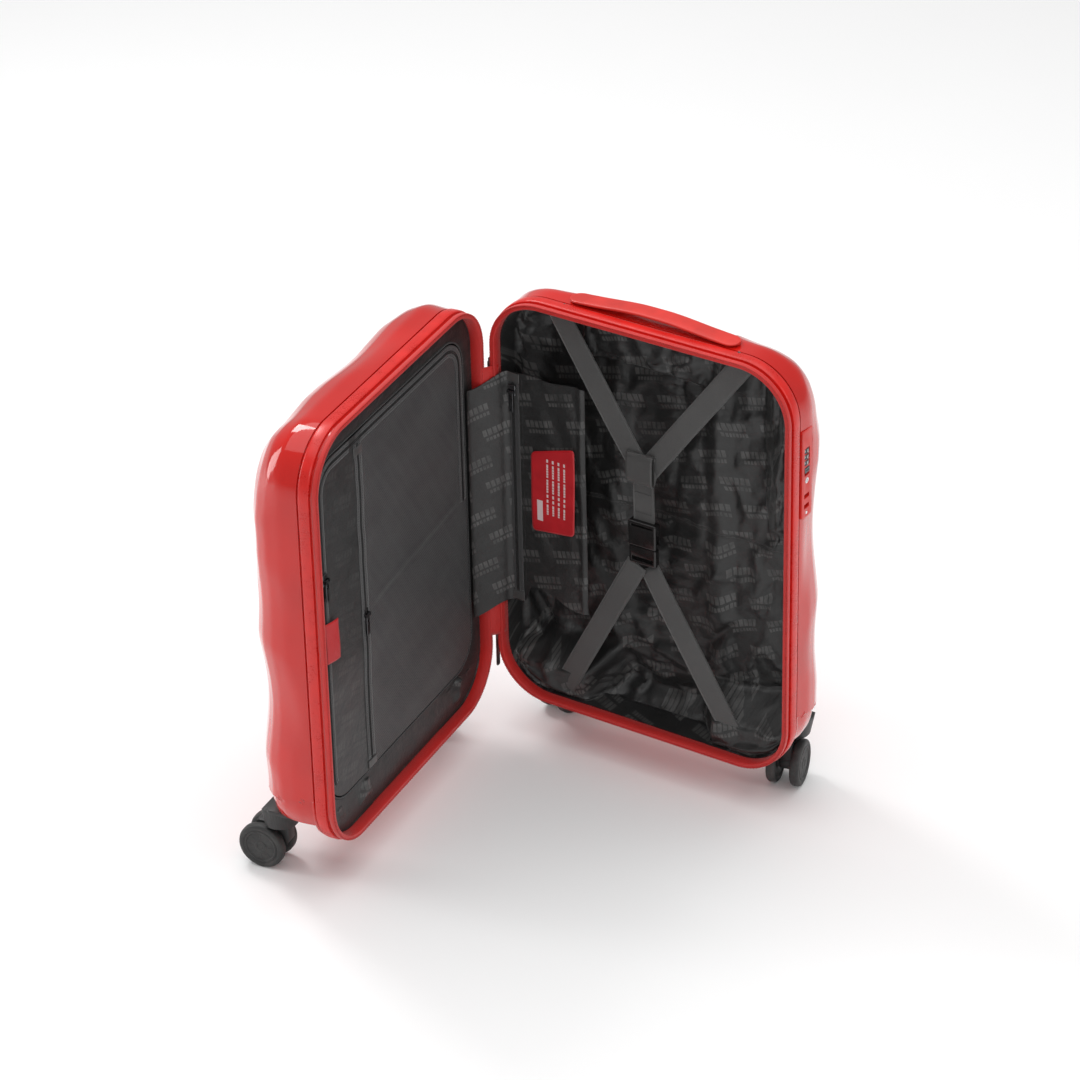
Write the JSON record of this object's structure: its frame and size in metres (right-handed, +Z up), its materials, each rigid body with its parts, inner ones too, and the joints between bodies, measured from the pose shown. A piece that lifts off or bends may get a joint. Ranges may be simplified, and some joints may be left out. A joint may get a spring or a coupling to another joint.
{
  "type": "hard shell suitcase on wheels",
  "caption": "Red hard shell cabin suitcase standing open on twin-wheel casters, with lined halves, zipped divider, crossed straps, side lock, carry handle and pull-out trolley.",
  "frame": {"origin": "on the floor, under the middle of the open case's footprint", "axes": "+Z up, +Y from the parting plane of the back half to its back, +X from the hinge side to the lock side of the back half"},
  "size_m": [0.4643, 0.4722, 0.5506],
  "materials": {
    "shell_red": "high-gloss moulded polycarbonate",
    "rim_red": "satin extruded piping",
    "zip_red": "woven zip tape",
    "lining_grey": "calendered polyester lining",
    "divider_twill": "twill with a fine rib",
    "webbing_grey": "flat woven webbing",
    "buckle_black": "polished acetal",
    "grip_red": "soft-touch",
    "lock_red": "satin",
    "lock_metal": "polished",
    "tube_aluminium": "anodised",
    "black_plastic": "fine moulded texture",
    "zip_metal": "gunmetal plating",
    "axle_steel": "bright",
    "wheel_black": "polyurethane"
  },
  "bodies": {
    "back_half": {"back_shell": "shell_red", "back_rim": "rim_red", "back_zip_tape": "zip_red", "back_lining": "lining_grey", "hinge_strip": "zip_red", "upper_straps": "webbing_grey", "lower_straps": "webbing_grey", "centre_strap": "webbing_grey", "strap_keeper": "webbing_grey", "buckle_female": "buckle_black", "hinge_pocket": "lining_grey", "handle_feet": "grip_red", "lock_housing": "lock_red", "trolley_bezel": "black_plastic", "trolley_outer_tubes": "tube_aluminium", "trolley_foot_bracket": "black_plastic", "back_caster_housings": "black_plastic", "main_zip_sliders": "zip_metal"},
    "front_half": {"front_shell": "shell_red", "front_rim": "rim_red", "front_zip_tape": "zip_red", "front_lining": "lining_grey", "front_caster_housings": "black_plastic"},
    "trolley_middle": {"trolley_middle_tubes": "tube_aluminium"},
    "trolley_top": {"trolley_inner_tubes": "tube_aluminium", "trolley_grip": "black_plastic"},
    "trolley_button": {"trolley_button": "black_plastic"},
    "carry_handle": {"carry_handle": "grip_red"},
    "lock_dial_1": {"lock_dial_1": "lock_metal"},
    "lock_dial_2": {"lock_dial_2": "lock_metal"},
    "lock_dial_3": {"lock_dial_3": "lock_metal"},
    "lock_button": {"lock_button": "lock_red"},
    "lock_key_core": {"lock_key_core": "lock_metal"},
    "lock_reset_pin": {"lock_reset_pin": "lock_metal"},
    "buckle_male": {"buckle_male": "buckle_black"},
    "hinge_pocket_slider": {"hinge_pocket_slider": "zip_metal"},
    "hinge_pocket_pull": {"hinge_pocket_pull": "zip_metal"},
    "main_zip_pull_top": {"main_zip_pull_top": "zip_metal"},
    "main_zip_pull_bottom": {"main_zip_pull_bottom": "zip_metal"},
    "divider_slider": {"divider_slider": "zip_metal"},
    "divider_pull": {"divider_pull": "zip_metal"},
    "divider_pocket_slider": {"divider_pocket_slider": "zip_metal"},
    "divider_pocket_pull": {"divider_pocket_pull": "zip_metal"},
    "divider": {"divider_panel": "divider_twill"},
    "caster_back_hinge": {"caster_back_hinge_fork": "black_plastic", "caster_back_hinge_axle": "axle_steel"},
    "caster_back_hinge_wheel_a": {"caster_back_hinge_wheel_a": "wheel_black"},
    "caster_back_hinge_wheel_b": {"caster_back_hinge_wheel_b": "wheel_black"},
    "caster_back_lock": {"caster_back_lock_fork": "black_plastic", "caster_back_lock_axle": "axle_steel"},
    "caster_back_lock_wheel_a": {"caster_back_lock_wheel_a": "wheel_black"},
    "caster_back_lock_wheel_b": {"caster_back_lock_wheel_b": "wheel_black"},
    "caster_front_hinge": {"caster_front_hinge_fork": "black_plastic", "caster_front_hinge_axle": "axle_steel"},
    "caster_front_hinge_wheel_a": {"caster_front_hinge_wheel_a": "wheel_black"},
    "caster_front_hinge_wheel_b": {"caster_front_hinge_wheel_b": "wheel_black"},
    "caster_front_lock": {"caster_front_lock_fork": "black_plastic", "caster_front_lock_axle": "axle_steel"},
    "caster_front_lock_wheel_a": {"caster_front_lock_wheel_a": "wheel_black"},
    "caster_front_lock_wheel_b": {"caster_front_lock_wheel_b": "wheel_black"}
  },
  "joints": [
    {"name": "lid_hinge", "type": "hinge", "parent": "back_half", "child": "front_half", "pos_m": [-0.132, 0.132, 0.295], "axis": [0, 0, -1], "range_deg": [-84, 81]},
    {"name": "caster_back_hinge_swivel", "type": "hinge", "parent": "back_half", "child": "caster_back_hinge", "pos_m": [-0.088, 0.22, 0.056], "axis": [0, 0, 1], "continuous": true},
    {"name": "caster_back_hinge_wheel_a_spin", "type": "hinge", "parent": "caster_back_hinge", "child": "caster_back_hinge_wheel_a", "pos_m": [-0.10334, 0.20499, 0.026], "axis": [-0.9903, 0.1392, 0], "continuous": true},
    {"name": "caster_back_hinge_wheel_b_spin", "type": "hinge", "parent": "caster_back_hinge", "child": "caster_back_hinge_wheel_b", "pos_m": [-0.07739, 0.20134, 0.026], "axis": [-0.9903, 0.1392, 0], "continuous": true},
    {"name": "caster_back_lock_swivel", "type": "hinge", "parent": "back_half", "child": "caster_back_lock", "pos_m": [0.19, 0.22, 0.056], "axis": [0, 0, 1], "continuous": true},
    {"name": "caster_back_lock_wheel_a_spin", "type": "hinge", "parent": "caster_back_lock", "child": "caster_back_lock_wheel_a", "pos_m": [0.18106, 0.20049, 0.026], "axis": [-0.9744, -0.225, 0], "continuous": true},
    {"name": "caster_back_lock_wheel_b_spin", "type": "hinge", "parent": "caster_back_lock", "child": "caster_back_lock_wheel_b", "pos_m": [0.20659, 0.20638, 0.026], "axis": [-0.9744, -0.225, 0], "continuous": true},
    {"name": "caster_front_hinge_swivel", "type": "hinge", "parent": "front_half", "child": "caster_front_hinge", "pos_m": [-0.21492, 0.07904, 0.056], "axis": [0, 0, 1], "continuous": true},
    {"name": "caster_front_hinge_wheel_a_spin", "type": "hinge", "parent": "caster_front_hinge", "child": "caster_front_hinge_wheel_a", "pos_m": [-0.19525, 0.07044, 0.026], "axis": [0.2419, -0.9703, 0], "continuous": true},
    {"name": "caster_front_hinge_wheel_b_spin", "type": "hinge", "parent": "caster_front_hinge", "child": "caster_front_hinge_wheel_b", "pos_m": [-0.20159, 0.09587, 0.026], "axis": [0.2419, -0.9703, 0], "continuous": true},
    {"name": "caster_front_lock_swivel", "type": "hinge", "parent": "front_half", "child": "caster_front_lock", "pos_m": [-0.18586, -0.19743, 0.056], "axis": [0, 0, 1], "continuous": true},
    {"name": "caster_front_lock_wheel_a_spin", "type": "hinge", "parent": "caster_front_lock", "child": "caster_front_lock_wheel_a", "pos_m": [-0.20452, -0.18683, 0.026], "axis": [-0.1392, 0.9903, 0], "continuous": true},
    {"name": "caster_front_lock_wheel_b_spin", "type": "hinge", "parent": "caster_front_lock", "child": "caster_front_lock_wheel_b", "pos_m": [-0.20087, -0.21277, 0.026], "axis": [-0.1392, 0.9903, 0], "continuous": true},
    {"name": "trolley_lower_slide", "type": "slide", "parent": "back_half", "child": "trolley_middle", "axis": [0, 0, 1], "range_m": [0, 0.26]},
    {"name": "trolley_upper_slide", "type": "slide", "parent": "trolley_middle", "child": "trolley_top", "axis": [0, 0, 1], "range_m": [0, 0.26]},
    {"name": "trolley_button_press", "type": "slide", "parent": "trolley_top", "child": "trolley_button", "axis": [0, 0, -1], "range_m": [0, 0.0025], "stiffness_N_per_m": 300, "springref_m": -0.003},
    {"name": "carry_handle_lift", "type": "slide", "parent": "back_half", "child": "carry_handle", "axis": [0, 0, 1], "range_m": [0, 0.0035], "stiffness_N_per_m": 500, "springref_m": -0.002},
    {"name": "lock_dial_1_turn", "type": "hinge", "parent": "back_half", "child": "lock_dial_1", "pos_m": [0.2265, 0.1662, 0.44], "axis": [0, 0, 1], "continuous": true},
    {"name": "lock_dial_2_turn", "type": "hinge", "parent": "back_half", "child": "lock_dial_2", "pos_m": [0.2265, 0.1662, 0.433], "axis": [0, 0, 1], "continuous": true},
    {"name": "lock_dial_3_turn", "type": "hinge", "parent": "back_half", "child": "lock_dial_3", "pos_m": [0.2265, 0.1662, 0.426], "axis": [0, 0, 1], "continuous": true},
    {"name": "lock_button_slide", "type": "slide", "parent": "back_half", "child": "lock_button", "axis": [0, 0, -1], "range_m": [0, 0.003], "stiffness_N_per_m": 200, "springref_m": -0.002},
    {"name": "lock_key_turn", "type": "hinge", "parent": "back_half", "child": "lock_key_core", "pos_m": [0.227, 0.1662, 0.405], "axis": [1, 0, 0], "range_deg": [0, 90]},
    {"name": "lock_reset_press", "type": "slide", "parent": "back_half", "child": "lock_reset_pin", "axis": [-1, 0, 0], "range_m": [0, 0.0015], "stiffness_N_per_m": 200, "springref_m": -0.001},
    {"name": "buckle_release", "type": "slide", "parent": "back_half", "child": "buckle_male", "axis": [0, 0, -1], "range_m": [0, 0.014]},
    {"name": "hinge_pocket_zip", "type": "slide", "parent": "back_half", "child": "hinge_pocket_slider", "axis": [0, 0, -1], "range_m": [0, 0.24]},
    {"name": "hinge_pocket_pull_swing", "type": "hinge", "parent": "hinge_pocket_slider", "child": "hinge_pocket_pull", "pos_m": [-0.108, 0.14, 0.424], "axis": [-1, 0, 0], "range_deg": [0, 150]},
    {"name": "main_zip_pull_top_swing", "type": "hinge", "parent": "back_half", "child": "main_zip_pull_top", "pos_m": [-0.131, 0.1362, 0.455], "axis": [1, 0, 0], "range_deg": [0, 35]},
    {"name": "main_zip_pull_bottom_swing", "type": "hinge", "parent": "back_half", "child": "main_zip_pull_bottom", "pos_m": [-0.131, 0.1362, 0.12], "axis": [1, 0, 0], "range_deg": [0, 35]},
    {"name": "divider_swing", "type": "hinge", "parent": "front_half", "child": "divider", "pos_m": [-0.14519, 0.10447, 0.295], "axis": [0, 0, 1], "range_deg": [0, 70]},
    {"name": "divider_zip", "type": "slide", "parent": "divider", "child": "divider_slider", "axis": [0, 0, 1], "range_m": [-0.18, 0.08]},
    {"name": "divider_pocket_zip", "type": "slide", "parent": "divider", "child": "divider_pocket_slider", "axis": [0, 0, 1], "range_m": [-0.17, 0.18]},
    {"name": "divider_pull_swing", "type": "hinge", "parent": "divider_slider", "child": "divider_pull", "pos_m": [-0.10844, -0.19935, 0.372], "axis": [0.1045, -0.9945, 0], "range_deg": [0, 150]},
    {"name": "divider_pocket_pull_swing", "type": "hinge", "parent": "divider_pocket_slider", "child": "divider_pocket_pull", "pos_m": [-0.11659, -0.12178, 0.288], "axis": [0.1045, -0.9945, 0], "range_deg": [0, 150]}
  ]
}
